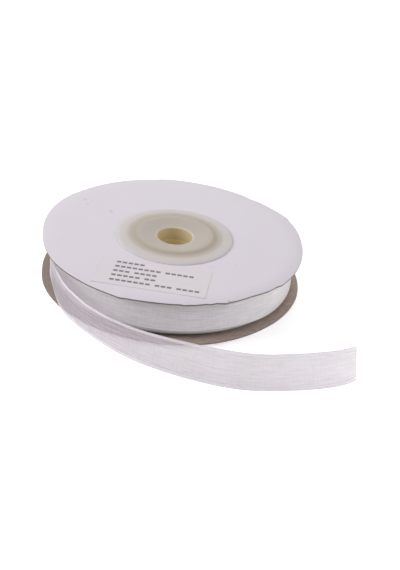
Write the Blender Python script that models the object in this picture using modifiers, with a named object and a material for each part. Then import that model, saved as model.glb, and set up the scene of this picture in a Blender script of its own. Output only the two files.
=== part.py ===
"""A roll of organza ribbon on its card reel, with the loose end drawn off and laid along the table."""

import math
from collections import namedtuple

import bmesh
import bpy
from mathutils import Vector

MM = 0.001

# Driving sizes, in metres
RIBBON_WIDTH = 10 * MM
CARD_RADIUS = 35 * MM
CARD_THICKNESS = 0.5 * MM
CARD_SPACE = 10.7 * MM
ROLL_RADIUS = 32.5 * MM
HUB_TUBE_RADIUS = 12.4 * MM
HUB_TUBE_WALL = 1.1 * MM
HUB_STAND_OFF = 0.9 * MM
CLEARANCE = 0.3 * MM

# The hub's hole in each card is punched a little off the card's middle
CARD_MIDDLE = (-0.4 * MM, 0.4 * MM)

# Heights above the table, from the lower hub's foot upwards
LOWER_CARD_BASE = HUB_STAND_OFF
LOWER_CARD_TOP = LOWER_CARD_BASE + CARD_THICKNESS
UPPER_CARD_BASE = LOWER_CARD_TOP + CARD_SPACE
UPPER_CARD_TOP = UPPER_CARD_BASE + CARD_THICKNESS
REEL_HEIGHT = UPPER_CARD_TOP + HUB_STAND_OFF
ROLL_TOP = UPPER_CARD_BASE - CLEARANCE
ROLL_BASE = ROLL_TOP - RIBBON_WIDTH

# The cut rim of each card runs straight between these corners: the direction in degrees, and
# how far the corner stands outside the true circle, in millimetres
RimCorner = namedtuple("RimCorner", "direction swell")
UPPER_RIM = (
    RimCorner(direction=5, swell=-0.20),
    RimCorner(direction=29, swell=0.35),
    RimCorner(direction=48, swell=-0.40),
    RimCorner(direction=62, swell=-0.55),
    RimCorner(direction=80, swell=-0.25),
    RimCorner(direction=96, swell=0.30),
    RimCorner(direction=110, swell=0.10),
    RimCorner(direction=147, swell=0.40),
    RimCorner(direction=162, swell=0.30),
    RimCorner(direction=190, swell=-0.30),
    RimCorner(direction=212, swell=0.10),
    RimCorner(direction=234, swell=0.15),
    RimCorner(direction=252, swell=0.50),
    RimCorner(direction=266, swell=-0.20),
    RimCorner(direction=282, swell=-0.40),
    RimCorner(direction=296, swell=0.10),
    RimCorner(direction=308, swell=-0.50),
    RimCorner(direction=325, swell=0.25),
    RimCorner(direction=345, swell=-0.10),
)
LOWER_RIM = (
    RimCorner(direction=20, swell=-0.10),
    RimCorner(direction=118, swell=0.20),
    RimCorner(direction=188, swell=-0.20),
    RimCorner(direction=203, swell=0.10),
    RimCorner(direction=250, swell=0.00),
    RimCorner(direction=293, swell=0.15),
    RimCorner(direction=318, swell=-0.25),
    RimCorner(direction=350, swell=0.10),
)
RIM_STEPS = 180
TURNED_STEPS = 72

# The moulded face of the hub, in millimetres, with height above the card's outer face: the lip
# that holds the card, out to its rim, then the dished boss from the bore out to its groove
HubRing = namedtuple("HubRing", "radius height")
HUB_LIP = (
    HubRing(radius=12.60, height=0.55),
    HubRing(radius=15.20, height=0.50),
    HubRing(radius=15.60, height=0.45),
    HubRing(radius=15.70, height=0.30),
)
HUB_BOSS = (
    HubRing(radius=4.60, height=-0.20),
    HubRing(radius=4.70, height=0.05),
    HubRing(radius=5.00, height=0.18),
    HubRing(radius=5.50, height=0.15),
    HubRing(radius=8.60, height=0.75),
    HubRing(radius=9.00, height=0.90),
    HubRing(radius=9.95, height=0.90),
    HubRing(radius=10.15, height=0.80),
    HubRing(radius=10.35, height=0.15),
    HubRing(radius=11.50, height=0.15),
    HubRing(radius=11.95, height=0.35),
)
HUB_WEB_DEPTH = 0.9 * MM
BORE_RADIUS = 4.6 * MM
BORE_LEDGE_RADIUS = 4.2 * MM
BORE_LEDGE_DEPTH = 3.0 * MM
BORE_TUBE_RADIUS = 5.7 * MM

# The wound ribbon's outer turns stand a little unevenly: radius and how far the turn's upper
# and lower edges draw in from the full width, in millimetres
Turn = namedtuple("Turn", "radius top_drop base_rise")
TURNS = (
    Turn(radius=12.7, top_drop=0.00, base_rise=0.00),
    Turn(radius=24.0, top_drop=0.20, base_rise=0.05),
    Turn(radius=31.2, top_drop=0.05, base_rise=0.00),
    Turn(radius=31.8, top_drop=0.05, base_rise=0.20),
    Turn(radius=32.3, top_drop=0.00, base_rise=0.25),
    Turn(radius=32.5, top_drop=0.10, base_rise=0.40),
)

# The label on the upper card
LABEL_LENGTH = 28.2 * MM
LABEL_WIDTH = 13.1 * MM
LABEL_THICKNESS = 0.2 * MM
LABEL_CENTRE = (-3.9 * MM, -22.7 * MM)
LABEL_TURN = math.radians(-5.7)

# The loose end lies on the roll over a short arc, in degrees, and leaves it along the tangent.
# From there each row gives the run along the ribbon in millimetres, its heading seen from above
# and its outward lean in degrees, and the height of its lower edge in millimetres.
END_THICKNESS = 1 * MM
END_ON_ROLL_FROM = 176
END_LEAVES_ROLL = 198
EndRow = namedtuple("EndRow", "run heading low lean")
END_ROWS = (
    EndRow(run=0, heading=-72.0, low=1.75, lean=0.0),
    EndRow(run=8, heading=-71.0, low=1.75, lean=4.5),
    EndRow(run=15, heading=-63.0, low=1.75, lean=4.0),
    EndRow(run=22, heading=-45.5, low=1.70, lean=8.0),
    EndRow(run=30, heading=-37.0, low=1.10, lean=11.0),
    EndRow(run=40, heading=-27.5, low=0.20, lean=7.0),
    EndRow(run=52, heading=-18.5, low=0.00, lean=1.0),
    EndRow(run=64, heading=-9.0, low=0.00, lean=-3.5),
    EndRow(run=74, heading=8.0, low=0.00, lean=-3.0),
    EndRow(run=84, heading=15.0, low=0.00, lean=-4.5),
    EndRow(run=93, heading=26.5, low=0.00, lean=-5.5),
    EndRow(run=99, heading=50.0, low=0.00, lean=-3.5),
)
END_STEP = 1.1 * MM


def clear_scene():
    for obj in list(bpy.data.objects):
        bpy.data.objects.remove(obj, do_unlink=True)


def new_collection(name):
    collection = bpy.data.collections.new(name)
    bpy.context.scene.collection.children.link(collection)
    return collection


def plain_material(name, colour, roughness):
    material = bpy.data.materials.new(name)
    material.use_nodes = True
    shader = material.node_tree.nodes["Principled BSDF"]
    shader.inputs["Base Color"].default_value = (*colour, 1)
    shader.inputs["Roughness"].default_value = roughness
    shader.inputs["Metallic"].default_value = 0
    return material


class Reel:
    """The collection that holds the pieces and the empty on the reel's axis that carries them."""

    def __init__(self, name):
        self.collection = new_collection(name)
        self.axis = bpy.data.objects.new("reel_axis", None)
        self.collection.objects.link(self.axis)

    def add(self, name, data, material):
        part = bpy.data.objects.new(name, data)
        if not data.materials:
            data.materials.append(material)
        self.collection.objects.link(part)
        part.parent = self.axis
        return part

    def parts(self):
        return [obj for obj in self.collection.objects if obj.type != "EMPTY"]


def rim_swell(direction, rim):
    """How far the rim stands outside the true circle, on a straight run between two corners."""
    for corner, following in zip(rim, rim[1:] + rim[:1]):
        span = (following.direction - corner.direction) % 360
        past = (direction - corner.direction) % 360
        if past < span:
            return corner.swell + (following.swell - corner.swell) * past / span
    return rim[0].swell


def add_loop(curve, points):
    spline = curve.splines.new("POLY")
    spline.points.add(len(points) - 1)
    for point, (x, y) in zip(spline.points, points):
        point.co = (x, y, 0, 1)
    spline.use_cyclic_u = True


def on_circle(radius, direction, middle=(0, 0)):
    angle = math.radians(direction)
    return middle[0] + radius * math.cos(angle), middle[1] + radius * math.sin(angle)


def card_disc(name, rim):
    """A flat cut disc with the hole for the hub's tube."""
    curve = bpy.data.curves.new(name, "CURVE")
    curve.dimensions = "2D"
    curve.fill_mode = "BOTH"
    curve.extrude = CARD_THICKNESS / 2
    directions = [360 * step / RIM_STEPS for step in range(RIM_STEPS)]
    add_loop(
        curve,
        [on_circle(CARD_RADIUS + rim_swell(d, rim) * MM, d, CARD_MIDDLE) for d in directions],
    )
    hole = [360 * step / TURNED_STEPS for step in range(TURNED_STEPS)]
    add_loop(curve, [on_circle(HUB_TUBE_RADIUS + CLEARANCE, d) for d in hole])
    return curve


def profile_mesh(name, profile):
    """A closed outline in the XZ plane, given as radius and height."""
    mesh = bpy.data.meshes.new(name)
    shape = bmesh.new()
    verts = [shape.verts.new((radius, 0, height)) for radius, height in profile]
    for start, end in zip(verts, verts[1:] + verts[:1]):
        shape.edges.new((start, end))
    shape.to_mesh(mesh)
    shape.free()
    return mesh


def turn_about_axis(part):
    screw = part.modifiers.new("turn", "SCREW")
    screw.angle = 2 * math.pi
    screw.steps = TURNED_STEPS
    screw.render_steps = TURNED_STEPS
    screw.use_merge_vertices = True
    screw.merge_threshold = 0.01 * MM
    screw.use_smooth_shade = True


def hub_profile():
    """One half of the hub, with heights from the middle of the reel.

    It runs out over the lip and down the outside of the tube that the ribbon is wound on, back
    up inside it, round the bore's own tube, up the bore and out over the dished boss.
    """
    card_face = CARD_SPACE / 2 + CARD_THICKNESS
    foot = CLEARANCE / 2
    lip_base = card_face + HUB_LIP[-1].height * MM
    web = card_face - HUB_WEB_DEPTH
    ledge = card_face - BORE_LEDGE_DEPTH
    chamfer = BORE_RADIUS - BORE_LEDGE_RADIUS
    lip = [(ring.radius * MM, card_face + ring.height * MM) for ring in HUB_LIP]
    boss = [(ring.radius * MM, card_face + ring.height * MM) for ring in HUB_BOSS]
    inner_wall = HUB_TUBE_RADIUS - HUB_TUBE_WALL
    return lip + [
        (HUB_TUBE_RADIUS, lip_base),
        (HUB_TUBE_RADIUS, foot),
        (inner_wall, foot),
        (inner_wall, web),
        (BORE_TUBE_RADIUS, web),
        (BORE_TUBE_RADIUS, foot),
        (BORE_LEDGE_RADIUS, foot),
        (BORE_LEDGE_RADIUS, ledge - chamfer),
        (BORE_RADIUS, ledge),
    ] + boss


def roll_profile():
    """The section of the wound ribbon, down its outer face and back inwards under it."""
    top = [(turn.radius * MM, ROLL_TOP - turn.top_drop * MM) for turn in TURNS]
    base = [(turn.radius * MM, ROLL_BASE + turn.base_rise * MM) for turn in TURNS]
    return top + base[::-1]


def eased(run, column):
    """A column of the loose end's rows at a run, on a smooth curve through the rows."""
    last = len(END_ROWS) - 1
    index = max(i for i in range(last) if END_ROWS[i].run <= run)

    def value(i):
        return getattr(END_ROWS[i], column)

    def slope(i):
        before, after = max(i - 1, 0), min(i + 1, last)
        return (value(after) - value(before)) / (END_ROWS[after].run - END_ROWS[before].run)

    span = END_ROWS[index + 1].run - END_ROWS[index].run
    share = (run - END_ROWS[index].run) / span
    rise = value(index + 1) - value(index)
    start, end = slope(index) * span, slope(index + 1) * span
    return (
        value(index)
        + start * share
        + (3 * rise - 2 * start - end) * share**2
        + (start + end - 2 * rise) * share**3
    )


Station = namedtuple("Station", "foot heading lean")


def end_stations():
    """The loose end's lower edge, step by step: first round the roll, then along its rows."""
    radius = ROLL_RADIUS + CLEARANCE + END_THICKNESS / 2
    low = END_ROWS[0].low * MM
    arc = END_LEAVES_ROLL - END_ON_ROLL_FROM
    arc_steps = round(math.radians(arc) * radius / END_STEP)
    stations = []
    for step in range(arc_steps):
        direction = END_ON_ROLL_FROM + arc * step / arc_steps
        foot = Vector((*on_circle(radius, direction), low))
        stations.append(Station(foot, direction + 90, 0))

    length = END_ROWS[-1].run
    steps = round(length * MM / END_STEP)
    stride = length / steps
    x, y = on_circle(radius, END_LEAVES_ROLL)
    for step in range(steps + 1):
        run = step * stride
        foot = Vector((x, y, max(eased(run, "low"), 0) * MM))
        stations.append(Station(foot, eased(run, "heading"), eased(run, "lean")))
        halfway = math.radians(eased(min(run + stride / 2, length), "heading"))
        x += stride * MM * math.cos(halfway)
        y += stride * MM * math.sin(halfway)
    return stations


def loose_end_mesh(name):
    """The loose end standing on its edge, drawn from a long box that is cut into stations."""
    stations = end_stations()
    shape = bmesh.new()
    bmesh.ops.create_cube(shape, size=1)
    along = [edge for edge in shape.edges if abs(edge.verts[0].co.x - edge.verts[1].co.x) > 0.5]
    bmesh.ops.subdivide_edges(shape, edges=along, cuts=len(stations) - 2, use_grid_fill=True)
    for vert in shape.verts:
        station = stations[round((vert.co.x + 0.5) * (len(stations) - 1))]
        heading = math.radians(station.heading)
        lean = math.radians(station.lean)
        outwards = Vector((math.sin(heading), -math.cos(heading), 0))
        rise = RIBBON_WIDTH * (vert.co.z + 0.5)
        sideways = END_THICKNESS * -vert.co.y + rise * math.sin(lean)
        vert.co = station.foot + outwards * sideways + Vector((0, 0, rise * math.cos(lean)))
    mesh = bpy.data.meshes.new(name)
    shape.to_mesh(mesh)
    shape.free()
    return mesh


def label_mesh(name):
    mesh = bpy.data.meshes.new(name)
    shape = bmesh.new()
    bmesh.ops.create_cube(shape, size=1)
    bmesh.ops.scale(shape, vec=(LABEL_LENGTH, LABEL_WIDTH, LABEL_THICKNESS), verts=shape.verts)
    shape.to_mesh(mesh)
    shape.free()
    return mesh


def points_of(part, graph):
    """The finished part's points in world space."""
    evaluated = part.evaluated_get(graph)
    mesh = evaluated.to_mesh()
    points = [evaluated.matrix_world @ vert.co for vert in mesh.vertices]
    evaluated.to_mesh_clear()
    return points


def centre_over_origin(reel):
    """Moves the reel so that the middle of the whole part's box stands over the origin."""
    bpy.context.view_layer.update()
    graph = bpy.context.evaluated_depsgraph_get()
    points = [point for part in reel.parts() for point in points_of(part, graph)]
    middle = [(min(p[i] for p in points) + max(p[i] for p in points)) / 2 for i in (0, 1)]
    reel.axis.location = (-middle[0], -middle[1], 0)


def build():
    clear_scene()
    reel = Reel("organza_ribbon_roll")
    card = plain_material("card", (0.70, 0.66, 0.70), 0.75)
    hub_plastic = plain_material("hub_plastic", (0.62, 0.57, 0.47), 0.40)
    organza = plain_material("organza", (0.78, 0.77, 0.78), 0.55)
    paper = plain_material("label_paper", (0.76, 0.70, 0.71), 0.60)

    lower_card = reel.add("lower_card", card_disc("lower_card", LOWER_RIM), card)
    lower_card.location.z = LOWER_CARD_BASE + CARD_THICKNESS / 2
    upper_card = reel.add("upper_card", card_disc("upper_card", UPPER_RIM), card)
    upper_card.location.z = UPPER_CARD_BASE + CARD_THICKNESS / 2

    hub_half = profile_mesh("hub_half", hub_profile())
    for name, turned_over in (("upper_hub", 0), ("lower_hub", math.pi)):
        half = reel.add(name, hub_half, hub_plastic)
        turn_about_axis(half)
        half.location.z = REEL_HEIGHT / 2
        half.rotation_euler.x = turned_over

    roll = reel.add("ribbon_roll", profile_mesh("ribbon_roll", roll_profile()), organza)
    turn_about_axis(roll)
    reel.add("ribbon_end", loose_end_mesh("ribbon_end"), organza)

    label = reel.add("label", label_mesh("label"), paper)
    label.location = (*LABEL_CENTRE, UPPER_CARD_TOP + CLEARANCE + LABEL_THICKNESS / 2)
    label.rotation_euler.z = LABEL_TURN
    centre_over_origin(reel)


build()
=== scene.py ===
# %% [markdown]
# A roll of organza ribbon on its card reel.
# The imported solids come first. They are the fixed frame: every piece below is made in the same
# metres and in the same place, so nothing has to be fitted afterwards.

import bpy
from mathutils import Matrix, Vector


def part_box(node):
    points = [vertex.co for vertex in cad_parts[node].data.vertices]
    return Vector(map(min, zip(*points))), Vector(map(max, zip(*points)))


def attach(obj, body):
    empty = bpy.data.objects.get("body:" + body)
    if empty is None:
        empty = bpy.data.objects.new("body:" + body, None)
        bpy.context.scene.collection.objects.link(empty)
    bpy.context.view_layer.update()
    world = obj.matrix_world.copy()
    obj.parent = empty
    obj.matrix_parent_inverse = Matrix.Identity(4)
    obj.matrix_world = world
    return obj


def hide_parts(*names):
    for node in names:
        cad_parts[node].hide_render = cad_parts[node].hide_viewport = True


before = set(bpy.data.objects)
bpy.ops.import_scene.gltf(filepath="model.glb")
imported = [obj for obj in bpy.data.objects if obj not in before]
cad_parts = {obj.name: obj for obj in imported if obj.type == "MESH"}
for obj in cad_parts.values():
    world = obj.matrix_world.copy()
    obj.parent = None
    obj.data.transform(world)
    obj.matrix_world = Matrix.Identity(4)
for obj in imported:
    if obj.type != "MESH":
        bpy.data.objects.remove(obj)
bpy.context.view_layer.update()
print("solids in the frame:", ", ".join(sorted(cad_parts)))

# %% Fetch the modules that the lesson uses
import math
from collections import namedtuple

import bmesh
import bpy
from mathutils import Matrix, Vector, noise

# %% [markdown]
# A reel is a turned thing, so nearly every size is a radius from one upright axis or a height
# above the table. Both can be read off the solids: the hub's box gives the axis and the cards'
# boxes give the heights. Reading them keeps this file true if the solids ever change.

# %% Read the reel's sizes off the solids
MM = 0.001


def heights(node):
    low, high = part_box(node)
    return low.z, high.z


def middle_and_radius(node):
    low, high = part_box(node)
    return Vector(((low.x + high.x) / 2, (low.y + high.y) / 2, 0)), (high.x - low.x) / 2


AXIS, LIP_RADIUS = middle_and_radius("upper_hub")
ROLL_RADIUS = middle_and_radius("ribbon_roll")[1]
CARD_RADIUS = middle_and_radius("upper_card")[1]
LOWER_CARD_BASE = heights("lower_card")[0]
UPPER_CARD_BASE, UPPER_CARD_TOP = heights("upper_card")
ROLL_BASE, ROLL_TOP = heights("ribbon_roll")
REEL_HEIGHT = heights("upper_hub")[1]
RIBBON_WIDTH = 10 * MM
print(f"card radius {CARD_RADIUS / MM:.1f} mm, wound radius {ROLL_RADIUS / MM:.1f} mm")

# %% [markdown]
# The camera stands at the photograph's place. Its distance, its angle to the table and its small
# roll were worked out from the two card rims, which are circles, so their flattened shapes say
# how they are seen. The focal length goes with a frame 570 pixels high.

# %% Stand the camera where the photograph was taken
CAMERA_FROM_AXIS = Vector((8.03, -236.9, 138.5)) * MM
CAMERA_DOWN = 30.62
CAMERA_ROLL = 5.97
FRAME_HEIGHT_PX = 570
FOCAL_LENGTH_PX = 1000

camera_data = bpy.data.cameras.new("camera")
camera_data.lens = camera_data.sensor_width * FOCAL_LENGTH_PX / FRAME_HEIGHT_PX
camera_data.clip_start = 10 * MM
camera = bpy.data.objects.new("camera", camera_data)
bpy.context.scene.collection.objects.link(camera)
camera.matrix_world = (
    Matrix.Translation(AXIS + CAMERA_FROM_AXIS)
    @ Matrix.Rotation(math.radians(90 - CAMERA_DOWN), 4, "X")
    @ Matrix.Rotation(math.radians(CAMERA_ROLL), 4, "Z")
)
bpy.context.scene.camera = camera
print(f"lens {camera_data.lens:.1f} mm")

# %% [markdown]
# Every piece goes the same way at the end: its bmesh becomes a mesh, the mesh an object at the
# origin, and the object rides with the reel and stands for its solid. One helper does that, so
# each piece's own cells are left with its shape.

# %% A helper that finishes a piece
SHARP_ANGLE = math.radians(40)


def finish_piece(name, shape, node):
    """Turns a bmesh into a piece that rides with the reel in place of one of its solids."""
    mesh = bpy.data.meshes.new(name)
    shape.to_mesh(mesh)
    shape.free()
    mesh.shade_smooth()
    mesh.set_sharp_from_angle(angle=SHARP_ANGLE)
    piece = bpy.data.objects.new(name, mesh)
    bpy.context.scene.collection.objects.link(piece)
    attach(piece, "root")
    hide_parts(node)
    print(f"{name}: {len(mesh.polygons)} faces")
    return piece


# %% A helper that builds a finish node by node
# A Mix node has inputs for numbers, directions and colours, so they are known by their numbers.
MIX_SHARE, MIX_FIRST, MIX_SECOND = 0, 6, 7
MIX_COLOUR = 2


class Finish:
    """A material and its nodes. Most steps return a socket, so that the next one can read it."""

    def __init__(self, name):
        self.material = bpy.data.materials.new(name)
        self.material.use_nodes = True
        self.tree = self.material.node_tree
        self.shader = self.tree.nodes["Principled BSDF"]

    def fill(self, node, inputs):
        """Fills a node's inputs, each with a value or with the socket that feeds it."""
        for name, value in inputs.items():
            if isinstance(value, bpy.types.NodeSocket):
                self.tree.links.new(value, node.inputs[name])
            else:
                node.inputs[name].default_value = value

    def add(self, kind, inputs=None, **settings):
        """Adds a node of a kind, with its settings and its inputs filled in."""
        node = self.tree.nodes.new("ShaderNode" + kind)
        for name, value in settings.items():
            setattr(node, name, value)
        self.fill(node, inputs or {})
        return node

    def place(self):
        """A point's place in the reel's own metres."""
        return self.add("TexCoord").outputs["Object"]

    def mottle(self, place, scale, detail):
        """Soft spots between 0 and 1."""
        texture = self.add("TexNoise", {"Vector": place, "Scale": scale, "Detail": detail})
        return texture.outputs["Fac"]

    def sum(self, kind, first, second=0.0):
        """One step of arithmetic between numbers or sockets."""
        return self.add("Math", {0: first, 1: second}, operation=kind).outputs[0]

    def spread(self, value, start, end, low=0.0, high=1.0):
        """Turns a value's run from start to end into one from low to high, level beyond both."""
        limits = {"From Min": start, "From Max": end, "To Min": low, "To Max": high}
        return self.add("MapRange", {"Value": value, **limits}).outputs["Result"]

    def ramp(self, value, stops):
        """Colours along a value, from a list of places and colours."""
        node = self.add("ValToRGB", {"Fac": value})
        elements = node.color_ramp.elements
        while len(elements) < len(stops):
            elements.new(0.5)
        for element, (place, colour) in zip(elements, stops):
            element.position = place
            element.color = (*colour, 1)
        return node.outputs["Color"]

    def blend(self, share, first, second):
        """A mix of two colours, each given as three numbers or as a socket."""
        first, second = (
            colour if isinstance(colour, bpy.types.NodeSocket) else (*colour, 1)
            for colour in (first, second)
        )
        node = self.add("Mix", data_type="RGBA")
        self.fill(node, {MIX_SHARE: share, MIX_FIRST: first, MIX_SECOND: second})
        return node.outputs[MIX_COLOUR]

    def relief(self, height, depth, strength):
        """Shades the surface as if a height stood out on it."""
        bump = self.add("Bump", {"Height": height, "Distance": depth, "Strength": strength})
        self.fill(self.shader, {"Normal": bump.outputs["Normal"]})


# %% [markdown]
# Each card is a disc cut from thin board: white paper on its outer face, raw grey-brown pulp on
# the inner face and along the cut. The rim is not a true circle, since the cutter left short
# straight runs with corners between them. The solids have that rim, so rays shot at the solid
# from outside find it. Knocks and small tears from handling come on top of it, as a short table.

# %% Find the rim of a card in its solid
RIM_STEPS = 720
HOLE_RADIUS = 12.5 * MM


def between_rows(rows, column, key, value):
    """A column of a table at a value of its first column, on straight runs between rows."""
    for row, following in zip(rows, rows[1:]):
        start, end = getattr(row, column), getattr(following, column)
        if start <= value <= end:
            share = (value - start) / (end - start)
            return getattr(row, key) * (1 - share) + getattr(following, key) * share
    return 0.0


def rim_place(node, direction, height):
    """Where the cut edge of a solid card stands, looking at it from outside."""
    outwards = Vector((math.cos(direction), math.sin(direction), 0))
    start = AXIS + outwards * CARD_RADIUS * 2 + Vector((0, 0, height))
    found, place, _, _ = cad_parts[node].ray_cast(start, -outwards)
    if not found:
        raise ValueError(f"{node} has no rim in the direction {math.degrees(direction):.0f}")
    return place


# %% List the knocks on the upper card's rim
Knock = namedtuple("Knock", "direction out")
UPPER_KNOCKS = (
    Knock(direction=27.0, out=0.00),
    Knock(direction=30.5, out=0.28),
    Knock(direction=40.0, out=0.00),
    Knock(direction=49.0, out=0.00),
    Knock(direction=54.0, out=-0.40),
    Knock(direction=59.0, out=0.00),
    Knock(direction=101.0, out=0.00),
    Knock(direction=104.5, out=-0.25),
    Knock(direction=108.0, out=0.00),
    Knock(direction=143.0, out=0.00),
    Knock(direction=151.0, out=0.22),
    Knock(direction=180.0, out=0.00),
    Knock(direction=245.5, out=-0.15),
    Knock(direction=250.0, out=0.00),
    Knock(direction=252.3, out=0.25),
    Knock(direction=255.0, out=0.00),
    Knock(direction=276.8, out=0.00),
    Knock(direction=277.8, out=0.28),
    Knock(direction=282.5, out=0.15),
    Knock(direction=286.8, out=-0.30),
    Knock(direction=289.0, out=-0.08),
    Knock(direction=291.6, out=-0.43),
    Knock(direction=295.7, out=0.10),
    Knock(direction=296.8, out=-0.12),
    Knock(direction=301.0, out=0.00),
    Knock(direction=317.0, out=0.00),
    Knock(direction=322.4, out=-0.30),
    Knock(direction=325.6, out=0.10),
    Knock(direction=328.0, out=0.00),
)
print(f"the upper card's rim has {len(UPPER_KNOCKS)} points of wear")

# %% [markdown]
# Two circles bridged into a ring, and extruded, make the board. A cut just under the outer face
# parts the white paper from the pulp, so that the paper shows as a thin white line along the cut.
# Pulling a sheet up and rounding its corners come back for other pieces, so both are helpers.

# %% Helpers that pull a sheet up and round corners
def raise_sheet(sheet, thickness):
    """Makes a flat sheet a thin closed slab, by pulling its faces up."""
    raised = bmesh.ops.extrude_face_region(sheet, geom=sheet.faces[:])["geom"]
    raised = [item for item in raised if isinstance(item, bmesh.types.BMVert)]
    bmesh.ops.translate(sheet, verts=raised, vec=(0, 0, thickness))


def round_corners(shape, rounding, segments):
    """Bevels every sharp edge of a shape."""
    corners = [edge for edge in shape.edges if edge.calc_face_angle(0) > SHARP_ANGLE]
    bmesh.ops.bevel(
        shape,
        geom=corners,
        offset=rounding,
        segments=segments,
        profile=0.5,
        affect="EDGES",
        material=-1,
    )


# %% Cut a card
RING_CUTS = 4
EDGE_ROUNDING = 0.04 * MM
PAPER_LAYER = 0.12 * MM
BENT_FROM = 0.9
BENT_BY = 0.10 * MM
BEND_LENGTH = 14 * MM
FACING, BOARD, CUT = 0, 1, 2


def card_bend(place):
    """How far handling has bent the card up or down, nothing at the hub and most at the rim."""
    from_middle = place - AXIS
    share = max(from_middle.length / CARD_RADIUS - BENT_FROM, 0) / (1 - BENT_FROM)
    return BENT_BY * share * noise.noise(from_middle / BEND_LENGTH)


def cut_card(node, facing_up, knocks):
    base, top = heights(node)
    card = bmesh.new()
    rim = bmesh.ops.create_circle(card, segments=RIM_STEPS, radius=CARD_RADIUS)["verts"]
    hole = bmesh.ops.create_circle(card, segments=RIM_STEPS, radius=HOLE_RADIUS)["verts"]
    for vert in rim:
        direction = math.atan2(vert.co.y, vert.co.x)
        out = between_rows(knocks, "direction", "out", math.degrees(direction) % 360) * MM
        outwards = vert.co.normalized()
        vert.co = rim_place(node, direction, (base + top) / 2) + outwards * out
        vert.co.z = base
    for vert in hole:
        vert.co += AXIS + Vector((0, 0, base))
    bmesh.ops.bridge_loops(card, edges=card.edges)
    spokes = [edge for edge in card.edges if edge.calc_length() > CARD_RADIUS / 2]
    bmesh.ops.subdivide_edges(card, edges=spokes, cuts=RING_CUTS)
    raise_sheet(card, top - base)
    bmesh.ops.recalc_face_normals(card, faces=card.faces)
    round_corners(card, EDGE_ROUNDING, segments=2)
    outer = top if facing_up else base
    under_paper = top - PAPER_LAYER if facing_up else base + PAPER_LAYER
    bmesh.ops.bisect_plane(
        card,
        geom=card.verts[:] + card.edges[:] + card.faces[:],
        plane_co=(0, 0, under_paper),
        plane_no=(0, 0, 1),
    )
    for face in card.faces:
        if abs(face.calc_center_median().z - outer) < PAPER_LAYER:
            face.material_index = FACING
        else:
            face.material_index = BOARD if abs(face.normal.z) > 0.5 else CUT
    for vert in card.verts:
        vert.co.z += card_bend(Vector((vert.co.x, vert.co.y, 0)))
    return card


upper_shape = cut_card("upper_card", True, UPPER_KNOCKS)
upper_card = finish_piece("card_upper", upper_shape, "upper_card")
lower_shape = cut_card("lower_card", False, ())
lower_card = finish_piece("card_lower", lower_shape, "lower_card")

# %% [markdown]
# The white facing is matt paper with a faint mauve cast, a little clouded, and it has picked up a
# scuff and a few specks. Each mark is a soft spot around a place on the card. Its distance from
# the shaded point gives its strength, and the strongest mark wins.

# %% Finish the white facing
Mark = namedtuple("Mark", "x y size strength")
MARKS = (
    Mark(x=-19.0, y=11.3, size=0.35, strength=0.55),
    Mark(x=-18.7, y=10.6, size=0.35, strength=0.60),
    Mark(x=-18.3, y=10.0, size=0.35, strength=0.70),
    Mark(x=-26.7, y=16.4, size=0.80, strength=0.20),
    Mark(x=-25.6, y=13.6, size=0.70, strength=0.20),
    Mark(x=-24.6, y=15.7, size=0.70, strength=0.10),
    Mark(x=10.4, y=-14.9, size=0.35, strength=0.40),
    Mark(x=16.6, y=-12.5, size=0.35, strength=0.30),
    Mark(x=15.4, y=-30.5, size=0.60, strength=0.50),
)
FACING_TINTS = ((0.500, 0.460, 0.507), (0.528, 0.486, 0.535))
GRIME = (0.10, 0.085, 0.09)


def facing_finish(name, marks):
    finish = Finish(name)
    place = finish.place()
    colour = finish.blend(finish.mottle(place, scale=90.0, detail=3.0), *FACING_TINTS)
    grime = 0.0
    for mark in marks:
        spot = AXIS + Vector((mark.x * MM, mark.y * MM, UPPER_CARD_TOP))
        away = finish.add("VectorMath", {0: place, 1: spot}, operation="DISTANCE").outputs["Value"]
        soft = finish.spread(away, 0.0, mark.size * MM, low=mark.strength, high=0.0)
        grime = finish.sum("MAXIMUM", grime, soft)
    if marks:
        colour = finish.blend(grime, colour, GRIME)
    finish.fill(finish.shader, {"Base Color": colour, "Roughness": 0.62})
    tooth = finish.mottle(place, scale=2500.0, detail=2.0)
    finish.relief(tooth, depth=0.01 * MM, strength=0.5)
    return finish.material


# %% [markdown]
# The board under the facing is grey pulp: short brown fibres pressed flat, with darker flecks.
# The mill lays the fibres along one direction, so one noise is stretched that way and another,
# fine and hard, is the flecks. Pulp is never one even tone. Towards the left the board is painted
# darker, by up to about two fifths: painted shade that evens out the stronger lamp that side needs
# because the loose end shades the roll there. The cut is the same pulp, darker where the blade
# pressed it.

# %% Finish the raw board
PULP = (0.320, 0.249, 0.211)
FIBRE_TONES = ((0.30, 0.78), (0.50, 1.00), (0.70, 1.22))
FLECKS = ((0.62, (0, 0, 0)), (0.76, (0.5, 0.5, 0.5)))
FIBRE_STRETCH = (0.3, 1.0, 1.0)
# How far painted shade darkens the board towards the left, and where it begins.
LEFT_PAINTED_SHADE, LEFT_PAINTED_SHADE_FROM = 0.78, -27 * MM
CUT_LIGHT = 0.50


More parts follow.
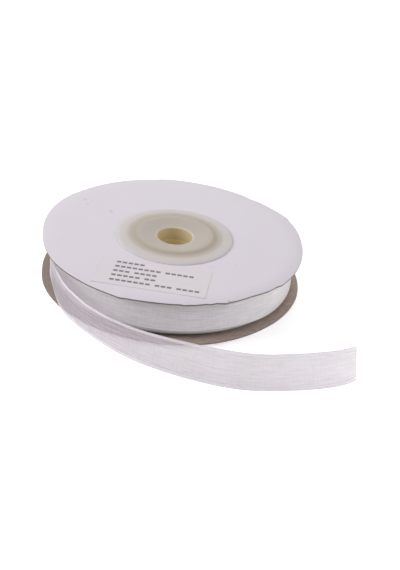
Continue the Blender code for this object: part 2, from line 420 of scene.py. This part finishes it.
def board_finish(name, light):
    finish = Finish(name)
    place = finish.place()
    pulp, half = (tuple(light * share * part for part in PULP) for share in (1, 0.5))
    grain = finish.add("Mapping", {"Vector": place, "Scale": FIBRE_STRETCH}).outputs["Vector"]
    fibres = finish.mottle(grain, scale=2400.0, detail=4.0)
    tones = [(spot, tuple(share * part for part in pulp)) for spot, share in FIBRE_TONES]
    colour = finish.ramp(fibres, tones)
    flecks = finish.ramp(finish.mottle(place, scale=2200.0, detail=1.0), FLECKS)
    colour = finish.blend(flecks, colour, half)
    # Painted shade: the board grows darker towards the left, to even out the strong left lamp.
    sideways = finish.add("SeparateXYZ", {"Vector": place}).outputs["X"]
    left_painted_shade = finish.spread(sideways, LEFT_PAINTED_SHADE_FROM, AXIS.x - CARD_RADIUS, high=LEFT_PAINTED_SHADE)
    colour = finish.blend(left_painted_shade, colour, half)
    finish.fill(finish.shader, {"Base Color": colour, "Roughness": 0.9})
    finish.relief(fibres, depth=0.05 * MM, strength=0.6)
    return finish.material


raw_board = board_finish("raw_board", 1.0)
cut_board = board_finish("cut_board", CUT_LIGHT)
for card, marks in ((upper_card, MARKS), (lower_card, ())):
    card.data.materials.append(facing_finish(f"{card.name}_facing", marks))
    card.data.materials.append(raw_board)
    card.data.materials.append(cut_board)
print(f"the facing has {len(MARKS)} marks")

# %% [markdown]
# The hub is one milky plastic moulding used twice. Its section is drawn as a few rings, each a
# radius and a height above the card's face, and spun once round the axis. A bevel then rounds
# the corners as a mould does. The lip lies on the card and thins out to its edge, a shoulder
# climbs from it to the dished boss, and a tube goes down through the card's hole. The bore has a
# ledge a little way down.

# %% Draw the hub's section
HubRing = namedtuple("HubRing", "radius height")
HUB_SECTION = (
    HubRing(radius=15.70, height=-0.01),
    HubRing(radius=15.70, height=0.06),
    HubRing(radius=15.60, height=0.16),
    HubRing(radius=15.38, height=0.26),
    HubRing(radius=15.00, height=0.35),
    HubRing(radius=14.40, height=0.43),
    HubRing(radius=13.60, height=0.49),
    HubRing(radius=12.80, height=0.52),
    HubRing(radius=11.80, height=0.54),
    HubRing(radius=11.40, height=0.57),
    HubRing(radius=11.00, height=0.65),
    HubRing(radius=10.60, height=0.75),
    HubRing(radius=10.30, height=0.83),
    HubRing(radius=10.00, height=0.87),
    HubRing(radius=9.60, height=0.88),
    HubRing(radius=9.10, height=0.83),
    HubRing(radius=8.00, height=0.64),
    HubRing(radius=7.00, height=0.43),
    HubRing(radius=6.00, height=0.25),
    HubRing(radius=5.40, height=0.17),
    HubRing(radius=5.05, height=0.13),
    HubRing(radius=4.85, height=0.06),
    HubRing(radius=4.74, height=-0.06),
    HubRing(radius=4.70, height=-0.25),
    HubRing(radius=4.70, height=-3.30),
    HubRing(radius=4.20, height=-3.55),
    HubRing(radius=4.20, height=-5.70),
    HubRing(radius=5.70, height=-5.70),
    HubRing(radius=5.70, height=-0.90),
    HubRing(radius=11.30, height=-0.90),
    HubRing(radius=11.30, height=-5.70),
    HubRing(radius=12.40, height=-5.70),
    HubRing(radius=12.40, height=-0.01),
)
HUB_STEPS = 160
MOULD_ROUNDING = 0.02 * MM


# %% Spin and round a hub half
def spin_section(section):
    """Turns a closed section of radii and heights once round the reel's axis."""
    shape = bmesh.new()
    verts = [shape.verts.new(AXIS + Vector((radius, 0, height))) for radius, height in section]
    edges = [shape.edges.new(pair) for pair in zip(verts, verts[1:] + verts[:1])]
    bmesh.ops.spin(
        shape,
        geom=verts + edges,
        cent=AXIS,
        axis=(0, 0, 1),
        angle=math.tau,
        steps=HUB_STEPS,
        use_merge=True,
    )
    bmesh.ops.recalc_face_normals(shape, faces=shape.faces)
    return shape


def hub_half(face_height, side):
    """One half, with side 1 for the upper and -1 for the lower."""
    section = [(ring.radius * MM, face_height + side * ring.height * MM) for ring in HUB_SECTION]
    half = spin_section(section)
    round_corners(half, MOULD_ROUNDING, segments=3)
    return half


upper_hub = finish_piece("hub_upper", hub_half(UPPER_CARD_TOP, 1), "upper_hub")
lower_hub = finish_piece("hub_lower", hub_half(LOWER_CARD_BASE, -1), "lower_hub")

# %% [markdown]
# Milky plastic takes its colour from what lies under it: pale on the lip, which lies on white
# card, greyer past the card's hole, olive on the thin shoulder, and ochre down the bore. So these
# tints are the plastic's cream partly painted with the light that comes back through it. The
# bore's wall is painted darker as shade in the recess, darkest just inside the rim. The bore's
# rounded rim is painted lighter as a highlight, and the lip's outer edge is painted lighter to
# lift the shade on it. Since the moulding is turned, colour by distance from the axis says all
# that. A little scattering softens it, and a faint glow in the bore stands for the light that
# comes through its wall.

# %% List the plastic's tints, with their painted light and shade, from the bore out to the lip
Tint = namedtuple("Tint", "radius colour")
PLASTIC_TINTS_AND_SHADING = (
    # Down the bore the tints are partly painted shade in the recess, darkest just inside the rim.
    Tint(radius=4.35, colour=(0.320, 0.268, 0.160)),
    Tint(radius=4.71, colour=(0.264, 0.218, 0.128)),
    # Painted highlight on the bore's rounded rim.
    Tint(radius=4.82, colour=(0.455, 0.402, 0.352)),
    Tint(radius=5.40, colour=(0.366, 0.323, 0.288)),
    Tint(radius=9.50, colour=(0.360, 0.316, 0.280)),
    Tint(radius=10.05, colour=(0.352, 0.308, 0.266)),
    Tint(radius=10.50, colour=(0.326, 0.283, 0.226)),
    Tint(radius=11.20, colour=(0.326, 0.283, 0.228)),
    Tint(radius=11.70, colour=(0.356, 0.311, 0.268)),
    Tint(radius=12.20, colour=(0.366, 0.320, 0.282)),
    Tint(radius=13.20, colour=(0.440, 0.400, 0.380)),
    Tint(radius=15.40, colour=(0.457, 0.426, 0.430)),
    # Painted light on the lip's outer edge, which lifts the shade on it.
    Tint(radius=15.68, colour=(0.490, 0.455, 0.470)),
)
BORE_GLOW = (
    Tint(radius=4.75, colour=(0.138, 0.099, 0.042)),
    Tint(radius=4.90, colour=(0, 0, 0)),
)


# %% Finish the milky plastic
def from_axis(finish):
    """Adds the nodes that give a point's distance from the reel's axis."""
    centred = finish.add("Mapping", {"Vector": finish.place(), "Location": -AXIS})
    centred = centred.outputs["Vector"]
    flat = finish.add("VectorMath", {0: centred, 1: (1, 1, 0)}, operation="MULTIPLY").outputs[0]
    return finish.add("VectorMath", {0: flat}, operation="LENGTH").outputs["Value"]


def plastic_finish(name):
    finish = Finish(name)
    out = finish.spread(from_axis(finish), 0.0, LIP_RADIUS)
    colour, glow = (
        finish.ramp(out, [(tint.radius * MM / LIP_RADIUS, tint.colour) for tint in tints])
        for tints in (PLASTIC_TINTS_AND_SHADING, BORE_GLOW)
    )
    finish.fill(
        finish.shader,
        {
            "Base Color": colour,
            "Roughness": 0.60,
            "Specular IOR Level": 0.25,
            "Subsurface Weight": 0.15,
            "Subsurface Radius": (1.0, 0.8, 0.5),
            "Subsurface Scale": 1.0 * MM,
            "Emission Color": glow,
            "Emission Strength": 1.0,
        },
    )
    haze = finish.mottle(finish.place(), scale=400.0, detail=2.0)
    finish.relief(haze, depth=0.02 * MM, strength=0.3)
    return finish.material


milky_plastic = plastic_finish("milky_plastic")
for half in (upper_hub, lower_hub):
    half.data.materials.append(milky_plastic)
print(f"the plastic has {len(PLASTIC_TINTS_AND_SHADING)} tints")

# %% [markdown]
# The wound ribbon is a spiral of thin cloth. Deep inside nobody sees the turns, so a spun ring
# with ridges at its top and foot stands for them. The last turns are a real spiral strip: a flat
# grid is laid round the ring turn by turn, each turn a layer further out. The outer turns have
# crept up against the upper card, so their lower edges stand in steps above the lower card. The
# last turn is slack and stands off the others a little, and its lower edge dips and climbs. A
# full roll is soft, and this one has been pressed in on one side, so the finished shape is pushed
# in there.

# %% Wind the inner turns as one ridged ring
LAYER = 0.12 * MM
OUTER_TURNS = 5
CORE_RADIUS = 12.7 * MM
RIDGED_FROM = 27 * MM
RIDGE = 0.06 * MM
CREEP = 0.75 * MM
CREEP_CURVE = 1.5


def core_section():
    """The section of the inner turns, with a small ridge for each pair of the outermost ones."""
    outside = ROLL_RADIUS - OUTER_TURNS * LAYER
    pairs = round((outside - RIDGED_FROM) / LAYER / 2)
    shares = [step / pairs / 2 for step in range(pairs * 2 + 1)]
    radii = [RIDGED_FROM + (outside - RIDGED_FROM) * share for share in shares]
    top = [(radius, ROLL_TOP - RIDGE * (step % 2)) for step, radius in enumerate(radii)]
    foot = [
        (radius, ROLL_BASE + CREEP * share**CREEP_CURVE + RIDGE * (step % 2))
        for step, (radius, share) in enumerate(zip(radii, shares))
    ]
    return [(CORE_RADIUS, ROLL_BASE), (CORE_RADIUS, ROLL_TOP)] + top + foot[::-1]


# %% List how the outer turns' lower edges stand
STEPS_PER_TURN = 240
CELLS_ACROSS = 12
ROOM_ABOVE = 0.05 * MM
END_ON_ROLL_FROM = 176
ORGANZA_THICKNESS = 0.10 * MM
SELVAGE = 0.9 * MM
SELVAGE_BEAD = 0.035 * MM
TurnEdge = namedtuple("TurnEdge", "turns_in rise slack")
TURN_EDGES = (
    TurnEdge(turns_in=0.0, rise=1.80, slack=0.22),
    TurnEdge(turns_in=0.25, rise=0.95, slack=0.22),
    TurnEdge(turns_in=0.59, rise=0.90, slack=0.22),
    TurnEdge(turns_in=0.67, rise=1.75, slack=0.22),
    TurnEdge(turns_in=0.9, rise=1.75, slack=0.22),
    TurnEdge(turns_in=1.0, rise=1.15, slack=0.00),
    TurnEdge(turns_in=1.9, rise=1.10, slack=0.00),
    TurnEdge(turns_in=2.0, rise=0.85, slack=0.00),
    TurnEdge(turns_in=5.0, rise=0.75, slack=0.00),
)
print(f"the outer turns' edges are given at {len(TURN_EDGES)} places")


# %% Helpers that lay a ribbon
def bead(across):
    """How far the selvage stands out, at a distance across the ribbon."""
    from_edge = min(across, RIBBON_WIDTH - across)
    return SELVAGE_BEAD * max(1 - from_edge / SELVAGE, 0)


def ribbon_slab(cells_along):
    """A thin slab, and each point's shares along and across it and through its thickness.

    The cells are narrower towards the two selvages, where the ribbon bends most.
    """
    strip = bmesh.new()
    bmesh.ops.create_grid(strip, x_segments=cells_along, y_segments=CELLS_ACROSS, size=0.5)
    raise_sheet(strip, 1)
    shares = {}
    for vert in strip.verts:
        across = 0.5 - 0.5 * math.cos(math.pi * (vert.co.y + 0.5))
        shares[vert] = (vert.co.x + 0.5, across, vert.co.z)
    return strip, shares


def write_threads(strip, shares, length):
    """Gives each corner its place on the flat ribbon, in millimetres along and across."""
    layer = strip.loops.layers.uv.new("threads")
    for face in strip.faces:
        for loop in face.loops:
            along, across, _ = shares[loop.vert]
            loop[layer].uv = (along * length / MM, across * RIBBON_WIDTH / MM)


# %% Wind the outer turns as a spiral strip
Waver = namedtuple("Waver", "often far")
EDGE_WAVERS = (Waver(often=2.1, far=0.10), Waver(often=9, far=0.03))
SWELL = Waver(often=3, far=0.05)
SWELL_ACROSS = 1.5
TURN_TO_TURN = 0.4


def wavering(waver, place):
    """A gentle unevenness, from noise."""
    return noise.noise(place) * waver.far


def outer_turns():
    strip, shares = ribbon_slab(OUTER_TURNS * STEPS_PER_TURN)
    for vert in strip.verts:
        along, across, depth = shares[vert]
        turns_in = OUTER_TURNS * (1 - along)
        direction = math.radians(END_ON_ROLL_FROM - 360 * turns_in)
        wander = Vector((math.cos(direction), math.sin(direction), turns_in * TURN_TO_TURN))
        edge = sum(wavering(waver, wander * waver.often) for waver in EDGE_WAVERS)
        up_the_face = Vector((0, 0, across * SWELL_ACROSS))
        swell = wavering(SWELL, wander * SWELL.often + up_the_face)
        slack = between_rows(TURN_EDGES, "turns_in", "slack", turns_in)
        radius = ROLL_RADIUS - LAYER * turns_in + (slack + swell) * MM
        radius += bead(across * RIBBON_WIDTH)
        radius -= ORGANZA_THICKNESS * depth
        low = ROLL_BASE + (between_rows(TURN_EDGES, "turns_in", "rise", turns_in) + edge) * MM
        high = min(low + RIBBON_WIDTH, UPPER_CARD_BASE - ROOM_ABOVE)
        x, y = math.cos(direction) * radius, math.sin(direction) * radius
        vert.co = AXIS + Vector((x, y, low + (high - low) * across))
    write_threads(strip, shares, OUTER_TURNS * math.tau * ROLL_RADIUS)
    bmesh.ops.recalc_face_normals(strip, faces=strip.faces)
    return strip


# %% Join the two into the wound ribbon
EDGES_ON_END = 1
PRESSED_AT = -30
PRESSED_BY = 0.42 * MM
PRESS_NARROWNESS = 6


def join_into(shape, other):
    """Adds another bmesh to a shape."""
    carrier = bpy.data.meshes.new("carrier")
    other.to_mesh(carrier)
    other.free()
    shape.from_mesh(carrier)
    bpy.data.meshes.remove(carrier)


def press_in(roll):
    """Presses the roll in a little on one side, most at the outermost turns."""
    for vert in roll.verts:
        out = (vert.co - AXIS) * Vector((1, 1, 0))
        depth = (out.length - CORE_RADIUS) / (ROLL_RADIUS - CORE_RADIUS)
        turned = math.atan2(out.y, out.x) - math.radians(PRESSED_AT)
        facing = max(math.cos(turned), 0) ** PRESS_NARROWNESS
        vert.co -= out.normalized() * PRESSED_BY * depth * facing


wound = outer_turns()
inner_turns = spin_section(core_section())
for face in inner_turns.faces:
    face.material_index = EDGES_ON_END
join_into(wound, inner_turns)
press_in(wound)
wound_ribbon = finish_piece("wound_ribbon", wound, "ribbon_roll")

# %% [markdown]
# The loose end is the same ribbon drawn off the roll. It stands on its lower edge, curls round
# the front of the reel and leans a little, first outwards and then back. The table gives its
# heading, height and lean at a few places, a smooth curve runs through them, and the path is
# walked step by step so that the ribbon keeps its real length.

# %% Plan the loose end's way
EndRow = namedtuple("EndRow", "run heading low lean")
END_ROWS = (
    EndRow(run=0, heading=-72.0, low=1.75, lean=0.0),
    EndRow(run=8, heading=-71.0, low=1.75, lean=4.5),
    EndRow(run=15, heading=-63.0, low=1.75, lean=4.0),
    EndRow(run=22, heading=-45.5, low=1.70, lean=8.0),
    EndRow(run=30, heading=-37.0, low=1.10, lean=11.0),
    EndRow(run=40, heading=-27.5, low=0.20, lean=7.0),
    EndRow(run=52, heading=-18.5, low=0.00, lean=1.0),
    EndRow(run=64, heading=-9.0, low=0.00, lean=-3.5),
    EndRow(run=74, heading=8.0, low=0.00, lean=-3.0),
    EndRow(run=84, heading=15.0, low=0.00, lean=-4.5),
    EndRow(run=93, heading=26.5, low=0.00, lean=-5.5),
    EndRow(run=99, heading=50.0, low=0.00, lean=-3.5),
)
END_LEAVES_ROLL = 198
END_STAND_OFF = 0.42 * MM
END_STEP = 0.8 * MM
END_SETTLE_CURVE = 1.5


def eased(run, column):
    """A column of the loose end's rows at a run, on a smooth curve through the rows."""
    last = len(END_ROWS) - 1
    index = max(i for i in range(last) if END_ROWS[i].run <= run)

    def value(i):
        return getattr(END_ROWS[i], column)

    def slope(i):
        before, after = max(i - 1, 0), min(i + 1, last)
        return (value(after) - value(before)) / (END_ROWS[after].run - END_ROWS[before].run)

    span = END_ROWS[index + 1].run - END_ROWS[index].run
    share = (run - END_ROWS[index].run) / span
    rise = value(index + 1) - value(index)
    start, end = slope(index) * span, slope(index + 1) * span
    return (
        value(index)
        + start * share
        + (3 * rise - 2 * start - end) * share**2
        + (start + end - 2 * rise) * share**3
    )


# %% Walk the way from the roll to the cut end
Station = namedtuple("Station", "foot heading lean")


def end_stations():
    """The ribbon's lower edge, step by step, as it lifts off the roll and then on its own way."""
    arc = math.radians(END_LEAVES_ROLL - END_ON_ROLL_FROM)
    arc_steps = round(arc * ROLL_RADIUS / END_STEP)
    stations = []
    for step in range(arc_steps + 1):
        share = step / arc_steps
        angle = math.radians(END_ON_ROLL_FROM) + arc * share
        radius = ROLL_RADIUS + TURN_EDGES[0].slack * MM
        radius += END_STAND_OFF * share**2 * (3 - 2 * share)
        rise = TURN_EDGES[0].rise * MM * (1 - share) ** END_SETTLE_CURVE
        low = max(END_ROWS[0].low * MM, ROLL_BASE) + rise
        foot = AXIS + Vector((math.cos(angle) * radius, math.sin(angle) * radius, low))
        stations.append(Station(foot, math.degrees(angle) + 90, 0))
    length = END_ROWS[-1].run
    steps = round(length * MM / END_STEP)
    stride = length / steps
    place = stations.pop().foot
    for step in range(steps + 1):
        run = step * stride
        foot = Vector((place.x, place.y, max(eased(run, "low"), 0) * MM))
        stations.append(Station(foot, eased(run, "heading"), eased(run, "lean")))
        halfway = math.radians(eased(min(run + stride / 2, length), "heading"))
        place += Vector((math.cos(halfway), math.sin(halfway), 0)) * stride * MM
    return stations


stations = end_stations()
end_length = sum((b.foot - a.foot).length for a, b in zip(stations, stations[1:]))
print(f"the loose end is {end_length / MM:.1f} mm long")


# %% Lay the ribbon along its way
CUT_SLANT = 1.7 * MM
RIPPLE = 0.16 * MM
RIPPLE_LENGTH = 7 * MM
RIPPLE_ACROSS = 1.2
FREE_FROM = 25 * MM


def station_at(run):
    """The station at a length along the way, between two of the walked ones."""
    gaps = len(stations) - 1
    step = min(run / end_length, 1) * gaps
    index = min(int(step), gaps - 1)
    share = step - index
    start, end = stations[index], stations[index + 1]
    return Station(*(a * (1 - share) + b * share for a, b in zip(start, end)))


def lay_loose_end():
    strip, shares = ribbon_slab(len(stations) - 1)
    for vert in strip.verts:
        along, across, depth = shares[vert]
        run = along * (end_length - CUT_SLANT * across)
        station = station_at(run)
        heading, lean = math.radians(station.heading), math.radians(station.lean)
        outwards = Vector((math.sin(heading), -math.cos(heading), 0))
        up = across * min(RIBBON_WIDTH, UPPER_CARD_BASE - ROOM_ABOVE - station.foot.z)
        free = min(run / FREE_FROM, 1)
        wave = noise.noise(Vector((run / RIPPLE_LENGTH, across * RIPPLE_ACROSS, 0)))
        ripple = wave * RIPPLE * free
        sideways = up * math.sin(lean) + bead(across * RIBBON_WIDTH) + ripple * across
        sideways -= ORGANZA_THICKNESS * depth
        vert.co = station.foot + outwards * sideways + Vector((0, 0, up * math.cos(lean)))
    write_threads(strip, shares, end_length)
    bmesh.ops.recalc_face_normals(strip, faces=strip.faces)
    return strip


loose_end = finish_piece("loose_end", lay_loose_end(), "ribbon_end")

# %% [markdown]
# Organza is a plain weave of very fine, hard threads, so open that things show through it. Its
# threads are never quite alike, and single thicker ones draw faint lines, stronger along the
# ribbon than across it. Both ribbons share one weave, which reads the ribbon's own millimetres.
# The selvage is woven closer. A narrow band at the very edge carries a darker line, which on the
# roll is painted shade.

# %% Weave the threads
THREAD_PITCH = 0.30
LINES_ALONG = (0.15, 2.6, 1.0)
LINES_ACROSS = (2.6, 0.25, 1.0)
ACROSS_SHARE = 0.4
LINE_HEIGHT = 2.0
EDGE_LINE_WIDTH = 0.25 * MM
EDGE_BANDS = ((SELVAGE, 0.20), (EDGE_LINE_WIDTH, 0.10))
Weave = namedtuple("Weave", "along lines height selvage last_threads")


def add_weave(finish):
    """Adds the weave's nodes and gives the sockets that a finish reads."""
    place = finish.add("UVMap", uv_map="threads").outputs["UV"]
    split = finish.add("SeparateXYZ", {"Vector": place})
    along, across = split.outputs["X"], split.outputs["Y"]
    turns = math.tau / THREAD_PITCH
    weft = finish.sum("SINE", finish.sum("MULTIPLY", along, turns))
    warp = finish.sum("SINE", finish.sum("MULTIPLY", across, turns))
    textures = []
    for scale in (LINES_ALONG, LINES_ACROSS):
        stretched = finish.add("Mapping", {"Vector": place, "Scale": scale}).outputs["Vector"]
        textures.append(finish.mottle(stretched, scale=1.0, detail=3.0))
    lengthwise, crosswise = textures
    lines = finish.sum("ADD", lengthwise, finish.sum("MULTIPLY", crosswise, ACROSS_SHARE))
    threads = finish.sum("ADD", weft, warp)
    height = finish.sum("ADD", finish.sum("MULTIPLY", lines, LINE_HEIGHT), threads)
    from_middle = finish.sum("ABSOLUTE", finish.sum("SUBTRACT", across, RIBBON_WIDTH / MM / 2))
    bands = []
    for width, softness in EDGE_BANDS:
        start = (RIBBON_WIDTH / 2 - width) / MM
        bands.append(finish.spread(from_middle, start, start + softness))
    return Weave(along, lines, height, *bands)


# %% [markdown]
# On the roll many layers lie on each other, so the cloth is solid there. A darker line along both
# edges of each turn is painted shade, as falls in the corner under each turn's lower edge. The
# edges of the inner turns are seen on end and swallow some light, and they are painted darker
# still as the shade in the gap under the roll.

# %% Finish the wound ribbon
WOUND_TINTS = ((0.38, (0.500, 0.476, 0.490)), (0.62, (0.622, 0.591, 0.612)))
# The painted shade along the turns' edges.
WOUND_EDGE_SHADE = (0.290, 0.270, 0.262)


def wound_finish(name):
    finish = Finish(name)
    weave = add_weave(finish)
    colour = finish.ramp(finish.sum("DIVIDE", weave.lines, 1 + ACROSS_SHARE), WOUND_TINTS)
    # Painted shade: a darker line along both edges of each turn.
    colour = finish.blend(weave.last_threads, colour, WOUND_EDGE_SHADE)
    finish.fill(
        finish.shader,
        {
            "Base Color": colour,
            "Roughness": 0.5,
            "Sheen Weight": 0.60,
            "Sheen Roughness": 0.35,
        },
    )
    finish.relief(weave.height, depth=0.02 * MM, strength=0.4)
    return finish.material


wound_ribbon.data.materials.append(wound_finish("wound_organza"))

# %% Finish the inner turns, which are seen on end and partly painted dark as shade
# Dark tints for the turns seen on end, partly painted shade for the gap under the roll.
TURN_TINTS_AND_SHADE = ((0.17, 0.16, 0.16), (0.30, 0.29, 0.29))


def turn_edges_and_shade_finish(name):
    finish = Finish(name)
    turns = finish.sum("MULTIPLY", from_axis(finish), math.pi / LAYER)
    layers = finish.spread(finish.sum("SINE", turns), -1.0, 1.0)
    colour = finish.blend(layers, *TURN_TINTS_AND_SHADE)
    finish.fill(finish.shader, {"Base Color": colour, "Roughness": 0.8})
    return finish.material


wound_ribbon.data.materials.append(turn_edges_and_shade_finish("turn_edges_and_shade"))

# %% [markdown]
# The loose end lets through what is behind it, and light from behind as well. It is a slab with
# two faces, and each hides a little under half of what lies behind it. Near the roll it still
# looks as the roll does, and it goes sheer from there on, so that no step shows where it lifts
# off. Thick threads and the selvage hide more and are paler than the thin threads between them.
# The selvage's paler tint is partly its closer weave and partly a painted highlight along the
# edge. A darker line runs along the very edges.

# %% List the sheer cloth's tints and cover
THICK_THREADS = (0.55, 0.85)
THIN_TINT = (0.492, 0.446, 0.472)
THICK_TINT = (0.622, 0.562, 0.626)
# The selvage's tint: its closer weave, and partly a painted highlight along the edge.
SELVAGE_TINT_AND_HIGHLIGHT = (0.722, 0.680, 0.724)
EDGE_LINE_TINT = (0.660, 0.614, 0.660)
SHEER_COVER = (0.43, 0.51)
SELVAGE_COVER = 0.66
SHINE_THROUGH = 0.42
WOUND_LOOK_UNTIL, SHEER_FROM = 5, 25
print(f"the loose end is fully sheer from {SHEER_FROM} mm along it")


# %% Finish the sheer loose end
def sheer_finish(name):
    finish = Finish(name)
    weave = add_weave(finish)
    thick = finish.spread(weave.lines, *THICK_THREADS)
    colour = finish.blend(weave.selvage, finish.blend(thick, THIN_TINT, THICK_TINT), SELVAGE_TINT_AND_HIGHLIGHT)
    colour = finish.blend(weave.last_threads, colour, EDGE_LINE_TINT)
    cover = finish.spread(thick, 0.0, 1.0, *SHEER_COVER)
    cover = finish.spread(weave.selvage, 0.0, 1.0, cover, SELVAGE_COVER)
    near = finish.spread(weave.along, SHEER_FROM, WOUND_LOOK_UNTIL)
    cover = finish.sum("MAXIMUM", cover, near)
    shine_through = finish.sum("MULTIPLY", finish.sum("SUBTRACT", 1.0, near), SHINE_THROUGH)
    finish.fill(finish.shader, {"Base Color": colour, "Roughness": 0.5, "Sheen Weight": 0.15})
    finish.relief(weave.height, depth=0.02 * MM, strength=0.3)
    shone_through = finish.add("BsdfTranslucent", {"Color": colour})
    layers = {"Fac": shine_through, 1: finish.shader.outputs[0], 2: shone_through.outputs[0]}
    cloth = finish.add("MixShader", layers)
    clear = finish.add("BsdfTransparent")
    layers = {"Fac": cover, 1: clear.outputs[0], 2: cloth.outputs[0]}
    sheer = finish.add("MixShader", layers)
    finish.fill(finish.tree.nodes["Material Output"], {"Surface": sheer.outputs[0]})
    return finish.material


loose_end.data.materials.append(sheer_finish("sheer_organza"))

# %% [markdown]
# A small paper label is glued to the upper card a little askew, so thin that only its tint and a
# fine line at its edges tell it from the card. It carries five rows of short plain dashes, each
# a very thin slab of ink.

# %% Cut the label and lift its corners
LABEL_SIZE = Vector((28.5, 12.9)) * MM
LABEL_FROM_AXIS = Vector((-4.0, -22.6, 0)) * MM
LABEL_TURN = -5.4
LABEL_OFF_CARD = 0.01 * MM
PAPER = 0.05 * MM
CORNER_LIFT = 0.02 * MM
CORNER_CURVE = 4
INK = 1


def cut_label():
    label = bmesh.new()
    bmesh.ops.create_grid(label, x_segments=24, y_segments=12, size=0.5)
    bmesh.ops.scale(label, vec=(LABEL_SIZE.x, LABEL_SIZE.y, 1), verts=label.verts)
    raise_sheet(label, PAPER)
    for vert in label.verts:
        corner = abs(vert.co.x) / LABEL_SIZE.x * abs(vert.co.y) / LABEL_SIZE.y * 4
        vert.co.z += CORNER_LIFT * corner**CORNER_CURVE
    bmesh.ops.recalc_face_normals(label, faces=label.faces)
    return label


# %% Print the rows of dashes
PrintRow = namedtuple("PrintRow", "height words")
ROW_START = -10.0
DASH_SIZE = (1.15, 0.85)
DASH_PITCH = 1.5
WORD_GAP = 0.9
INK_THICKNESS = 0.02
PRINT_ROWS = (
    PrintRow(height=4.8, words=(5,)),
    PrintRow(height=2.6, words=(8, 5)),
    PrintRow(height=0.4, words=(3, 4)),
    PrintRow(height=-1.8, words=(5, 2)),
    PrintRow(height=-4.1, words=(7, 3, 4)),
)


def print_dash(start, height):
    dash = bmesh.new()
    bmesh.ops.create_cube(dash, size=MM)
    bmesh.ops.scale(dash, vec=(*DASH_SIZE, INK_THICKNESS), verts=dash.verts)
    middle = Vector((start + DASH_SIZE[0] / 2, height, 0)) * MM + Vector((0, 0, PAPER))
    bmesh.ops.translate(dash, vec=middle, verts=dash.verts)
    for face in dash.faces:
        face.material_index = INK
    return dash


label_shape = cut_label()
for row in PRINT_ROWS:
    start = ROW_START
    for dashes in row.words:
        for _ in range(dashes):
            join_into(label_shape, print_dash(start, row.height))
            start += DASH_PITCH
        start += WORD_GAP
bmesh.ops.rotate(
    label_shape,
    cent=(0, 0, 0),
    matrix=Matrix.Rotation(math.radians(LABEL_TURN), 3, "Z"),
    verts=label_shape.verts,
)
label_height = Vector((0, 0, UPPER_CARD_TOP + LABEL_OFF_CARD))
bmesh.ops.translate(
    label_shape, vec=AXIS + LABEL_FROM_AXIS + label_height, verts=label_shape.verts
)
label = finish_piece("paper_label", label_shape, "label")

# %% Finish the label's paper and ink
PAPER_TINTS = ((0.494, 0.450, 0.478), (0.524, 0.478, 0.508))
INK_TINTS = ((0.11, 0.10, 0.11), (0.15, 0.14, 0.15))


def paper_finish(name, tints):
    finish = Finish(name)
    clouds = finish.mottle(finish.place(), scale=300.0, detail=4.0)
    colour = finish.blend(clouds, *tints)
    finish.fill(finish.shader, {"Base Color": colour, "Roughness": 0.6})
    finish.relief(clouds, depth=0.02 * MM, strength=0.3)
    return finish.material


label.data.materials.append(paper_finish("label_paper", PAPER_TINTS))
label.data.materials.append(paper_finish("label_ink", INK_TINTS))

# %% [markdown]
# The stage is a plain white table in soft light: a lamp at each side and one at the back, because
# the roll is brightest on its sides and darkest in front. The table glows a little, as a
# photographer's lit acrylic sheet does, which washes the shadows on it out. The sky that the
# camera sees is white, while the sky that lights things is dimmer.

# %% Lay the table
TABLE_SIZE = 3.0
table_shape = bmesh.new()
bmesh.ops.create_grid(table_shape, x_segments=2, y_segments=2, size=TABLE_SIZE / 2)
table_mesh = bpy.data.meshes.new("table")
table_shape.to_mesh(table_mesh)
table_shape.free()
table = bpy.data.objects.new("table", table_mesh)
bpy.context.scene.collection.objects.link(table)
white = Finish("white_table")
white.fill(
    white.shader,
    {
        "Base Color": (0.84, 0.84, 0.84, 1),
        "Roughness": 0.8,
        "Emission Color": (1, 1, 1, 1),
        "Emission Strength": 0.37,
    },
)
table.data.materials.append(white.material)

# %% Hang the lamps
Lamp = namedtuple("Lamp", "name x y z size power")
LAMPS = (
    Lamp(name="left", x=-0.60, y=-0.10, z=0.30, size=0.5, power=4.9),
    Lamp(name="right", x=0.60, y=-0.05, z=0.30, size=0.5, power=2.2),
    Lamp(name="back", x=0.00, y=0.70, z=0.40, size=0.6, power=2.2),
)
for lamp in LAMPS:
    data = bpy.data.lights.new(lamp.name, "AREA")
    data.shape = "DISK"
    data.size = lamp.size
    data.energy = lamp.power
    light = bpy.data.objects.new(lamp.name, data)
    light.location = (lamp.x, lamp.y, lamp.z)
    aim = AXIS + Vector((0, 0, REEL_HEIGHT / 2)) - light.location
    light.rotation_euler = aim.to_track_quat("-Z", "Y").to_euler()
    bpy.context.scene.collection.objects.link(light)

# %% Paint the sky
SKY_SEEN = 1.0
SKY_LIGHT = 0.60
world = bpy.data.worlds.new("sky")
world.use_nodes = True
bpy.context.scene.world = world
sky = world.node_tree
seen = sky.nodes["Background"]
seen.inputs["Color"].default_value = (1, 1, 1, 1)
seen.inputs["Strength"].default_value = SKY_SEEN
lighting = sky.nodes.new("ShaderNodeBackground")
lighting.inputs["Strength"].default_value = SKY_LIGHT
rays = sky.nodes.new("ShaderNodeLightPath")
choose = sky.nodes.new("ShaderNodeMixShader")
sky.links.new(rays.outputs["Is Camera Ray"], choose.inputs["Fac"])
sky.links.new(lighting.outputs[0], choose.inputs[1])
sky.links.new(seen.outputs[0], choose.inputs[2])
sky.links.new(choose.outputs[0], sky.nodes["World Output"].inputs["Surface"])
bpy.context.scene.view_settings.view_transform = "Standard"
